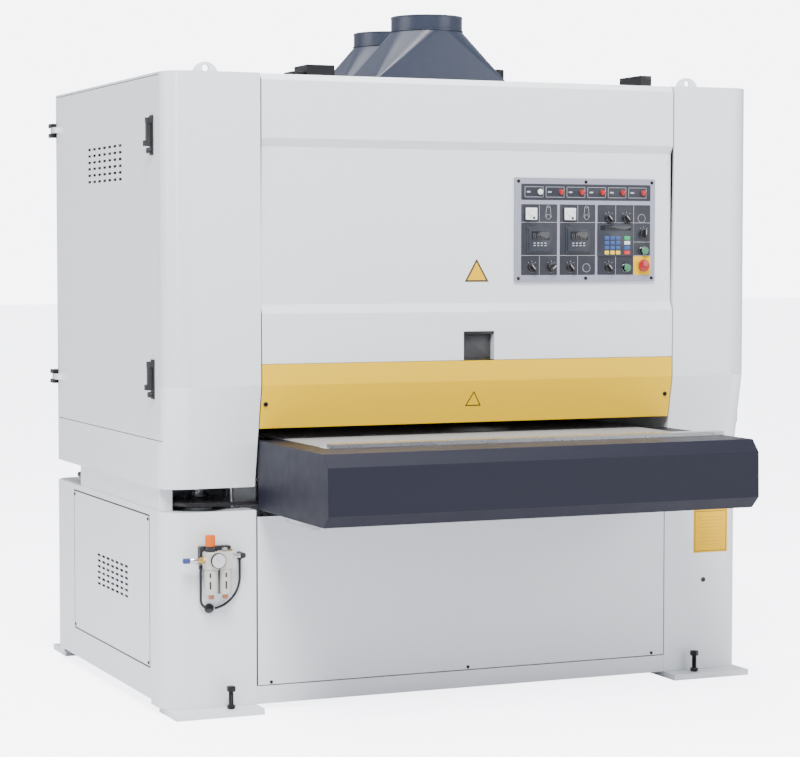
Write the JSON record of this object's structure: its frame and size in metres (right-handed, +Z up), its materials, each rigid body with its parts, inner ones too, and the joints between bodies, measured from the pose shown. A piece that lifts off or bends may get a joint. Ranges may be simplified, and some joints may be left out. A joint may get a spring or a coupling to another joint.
{
  "type": "wide-belt drum sander",
  "caption": "Two-head wide-belt sander: base with feed conveyor, sanding head raised by jackscrews, control panel, dust hoods.",
  "frame": {"origin": "on the floor at the centre of the machine in plan", "axes": "+X to the right seen from the infeed, +Y along the feed, +Z up"},
  "size_m": [2.176, 2.51, 2.273],
  "materials": {
    "white_paint": "satin powder coat",
    "slate_paint": "satin powder coat",
    "yellow_paint": "satin powder coat",
    "hood_paint": "satin powder coat",
    "motor_paint": "satin",
    "beam_paint": "satin",
    "black_steel": "blackened",
    "bright_steel": "machined",
    "brass": "machined",
    "belt_rubber": "matt",
    "drum_rubber": "matt",
    "black_rubber": "matt",
    "abrasive": "grit",
    "black_plastic": "fine texture",
    "dark_plastic": "satin",
    "red_plastic": "gloss",
    "green_plastic": "gloss",
    "orange_plastic": "satin",
    "panel_metal": "anodised"
  },
  "bodies": {
    "base": {"base_left_housing": "white_paint", "base_right_housing": "white_paint", "base_cross_beams": "white_paint", "foot_plates": "white_paint", "levelling_bolts": "black_steel", "base_end_panels": "white_paint", "base_side_panels": "white_paint", "gap_skirts": "white_paint", "panel_screws": "black_steel", "conveyor_bed": "bright_steel", "conveyor_covers": "slate_paint", "conveyor_belt": "belt_rubber", "air_service_unit": "black_plastic", "air_hose": "black_rubber", "lift_chain": "black_steel", "gearmotors": "motor_paint", "tracking_cylinder": "bright_steel", "limit_rods": "bright_steel"},
    "head": {"head_left_housing": "white_paint", "head_right_housing": "white_paint", "front_fascia": "white_paint", "rear_fascia": "white_paint", "top_cover": "white_paint", "feed_guard": "yellow_paint", "dust_hoods": "hood_paint", "roof_fittings": "black_steel", "control_panel": "panel_metal", "panel_instruments": "dark_plastic", "head_beams": "beam_paint", "sanding_belts": "abrasive", "main_motors": "motor_paint", "drive_v_belts": "black_rubber", "right_side_panel": "white_paint", "door_hinges": "black_steel", "lift_nuts": "brass"},
    "door": {"left_door": "white_paint", "handle_plates": "black_plastic"},
    "regulator_knob_body": {"regulator_knob": "orange_plastic"},
    "conveyor_drive_roller_body": {"conveyor_drive_roller": "bright_steel"},
    "conveyor_idler_roller_body": {"conveyor_idler_roller": "bright_steel"},
    "jack_screw_front_left_body": {"jack_screw_front_left": "black_steel"},
    "jack_screw_front_right_body": {"jack_screw_front_right": "black_steel"},
    "jack_screw_rear_left_body": {"jack_screw_rear_left": "black_steel"},
    "jack_screw_rear_right_body": {"jack_screw_rear_right": "black_steel"},
    "contact_drum_front_body": {"contact_drum_front": "bright_steel"},
    "contact_drum_rear_body": {"contact_drum_rear": "drum_rubber"},
    "tension_roller_front_body": {"tension_roller_front": "bright_steel"},
    "tension_roller_rear_body": {"tension_roller_rear": "bright_steel"},
    "e_stop_button_body": {"e_stop_button": "red_plastic"},
    "start_button_upper_body": {"start_button_upper": "green_plastic"},
    "start_button_lower_body": {"start_button_lower": "green_plastic"},
    "door_handle_upper_body": {"door_handle_upper": "black_plastic"},
    "door_handle_lower_body": {"door_handle_lower": "black_plastic"},
    "selector_1_body": {"selector_1": "black_plastic"},
    "selector_2_body": {"selector_2": "black_plastic"},
    "selector_3_body": {"selector_3": "black_plastic"},
    "selector_4_body": {"selector_4": "black_plastic"},
    "selector_5_body": {"selector_5": "black_plastic"},
    "selector_6_body": {"selector_6": "black_plastic"},
    "selector_7_body": {"selector_7": "black_plastic"}
  },
  "joints": [
    {"name": "head_lift", "type": "slide", "parent": "base", "child": "head", "axis": [0, 0, 1], "range_m": [-0.017, 0.1]},
    {"name": "jack_screw_front_left_turn", "type": "hinge", "parent": "base", "child": "jack_screw_front_left_body", "pos_m": [-0.907, -0.52, 0.672], "axis": [0, 0, 1], "continuous": true},
    {"name": "jack_screw_front_right_turn", "type": "hinge", "parent": "base", "child": "jack_screw_front_right_body", "pos_m": [0.907, -0.52, 0.672], "axis": [0, 0, 1], "continuous": true},
    {"name": "jack_screw_rear_left_turn", "type": "hinge", "parent": "base", "child": "jack_screw_rear_left_body", "pos_m": [-0.907, 0.52, 0.672], "axis": [0, 0, 1], "continuous": true},
    {"name": "jack_screw_rear_right_turn", "type": "hinge", "parent": "base", "child": "jack_screw_rear_right_body", "pos_m": [0.907, 0.52, 0.672], "axis": [0, 0, 1], "continuous": true},
    {"name": "door_swing", "type": "hinge", "parent": "head", "child": "door", "pos_m": [-1.07, 0.618, 1.45], "axis": [0, 0, -1], "range_deg": [0, 110]},
    {"name": "upper_handle_pull", "type": "hinge", "parent": "door", "child": "door_handle_upper_body", "pos_m": [-1.0725, -0.54, 1.891], "axis": [0, 1, 0], "range_deg": [0, 60]},
    {"name": "lower_handle_pull", "type": "hinge", "parent": "door", "child": "door_handle_lower_body", "pos_m": [-1.0725, -0.54, 1.117], "axis": [0, 1, 0], "range_deg": [0, 60]},
    {"name": "front_drum_turn", "type": "hinge", "parent": "head", "child": "contact_drum_front_body", "pos_m": [0, -0.34, 0.9845], "axis": [1, 0, 0], "continuous": true},
    {"name": "front_tension_turn", "type": "hinge", "parent": "head", "child": "tension_roller_front_body", "pos_m": [0, -0.34, 1.722], "axis": [1, 0, 0], "continuous": true},
    {"name": "rear_drum_turn", "type": "hinge", "parent": "head", "child": "contact_drum_rear_body", "pos_m": [0, 0.2, 0.9645], "axis": [1, 0, 0], "continuous": true},
    {"name": "rear_tension_turn", "type": "hinge", "parent": "head", "child": "tension_roller_rear_body", "pos_m": [0, 0.27, 1.722], "axis": [1, 0, 0], "continuous": true},
    {"name": "conveyor_drive_turn", "type": "hinge", "parent": "base", "child": "conveyor_drive_roller_body", "pos_m": [0, 0.945, 0.795], "axis": [1, 0, 0], "continuous": true},
    {"name": "conveyor_idler_turn", "type": "hinge", "parent": "base", "child": "conveyor_idler_roller_body", "pos_m": [0, -0.945, 0.795], "axis": [1, 0, 0], "continuous": true},
    {"name": "e_stop_press", "type": "slide", "parent": "head", "child": "e_stop_button_body", "axis": [0, 1, 0], "range_m": [0, 0.004]},
    {"name": "start_upper_press", "type": "slide", "parent": "head", "child": "start_button_upper_body", "axis": [0, 1, 0], "range_m": [0, 0.004], "stiffness_N_per_m": 1500},
    {"name": "start_lower_press", "type": "slide", "parent": "head", "child": "start_button_lower_body", "axis": [0, 1, 0], "range_m": [0, 0.004], "stiffness_N_per_m": 1500},
    {"name": "selector_1_turn", "type": "hinge", "parent": "head", "child": "selector_1_body", "pos_m": [0.212, -0.683, 1.422], "axis": [0, 1, 0], "range_deg": [-45, 45]},
    {"name": "selector_2_turn", "type": "hinge", "parent": "head", "child": "selector_2_body", "pos_m": [0.285, -0.683, 1.422], "axis": [0, 1, 0], "range_deg": [-45, 45]},
    {"name": "selector_3_turn", "type": "hinge", "parent": "head", "child": "selector_3_body", "pos_m": [0.357, -0.683, 1.422], "axis": [0, 1, 0], "range_deg": [-45, 45]},
    {"name": "selector_4_turn", "type": "hinge", "parent": "head", "child": "selector_4_body", "pos_m": [0.502, -0.683, 1.588], "axis": [0, 1, 0], "range_deg": [-45, 45]},
    {"name": "selector_5_turn", "type": "hinge", "parent": "head", "child": "selector_5_body", "pos_m": [0.569, -0.683, 1.588], "axis": [0, 1, 0], "range_deg": [-45, 45]},
    {"name": "selector_6_turn", "type": "hinge", "parent": "head", "child": "selector_6_body", "pos_m": [0.636, -0.683, 1.538], "axis": [0, 1, 0], "range_deg": [-45, 45]},
    {"name": "selector_7_turn", "type": "hinge", "parent": "head", "child": "selector_7_body", "pos_m": [0.502, -0.683, 1.422], "axis": [0, 1, 0], "range_deg": [-45, 45]},
    {"name": "regulator_turn", "type": "hinge", "parent": "base", "child": "regulator_knob_body", "pos_m": [-0.921, -0.685, 0.56], "axis": [0, 0, 1], "range_deg": [-720, 720]}
  ],
  "couplings": [
    {"joint": "jack_screw_front_left_turn", "follows": "head_lift", "rad_per_m": 1047.2},
    {"joint": "jack_screw_front_right_turn", "follows": "head_lift", "rad_per_m": 1047.2},
    {"joint": "jack_screw_rear_left_turn", "follows": "head_lift", "rad_per_m": 1047.2},
    {"joint": "jack_screw_rear_right_turn", "follows": "head_lift", "rad_per_m": 1047.2},
    {"joint": "front_tension_turn", "follows": "front_drum_turn", "ratio": 2},
    {"joint": "rear_tension_turn", "follows": "rear_drum_turn", "ratio": 1.5556},
    {"joint": "conveyor_idler_turn", "follows": "conveyor_drive_turn", "ratio": 1}
  ]
}
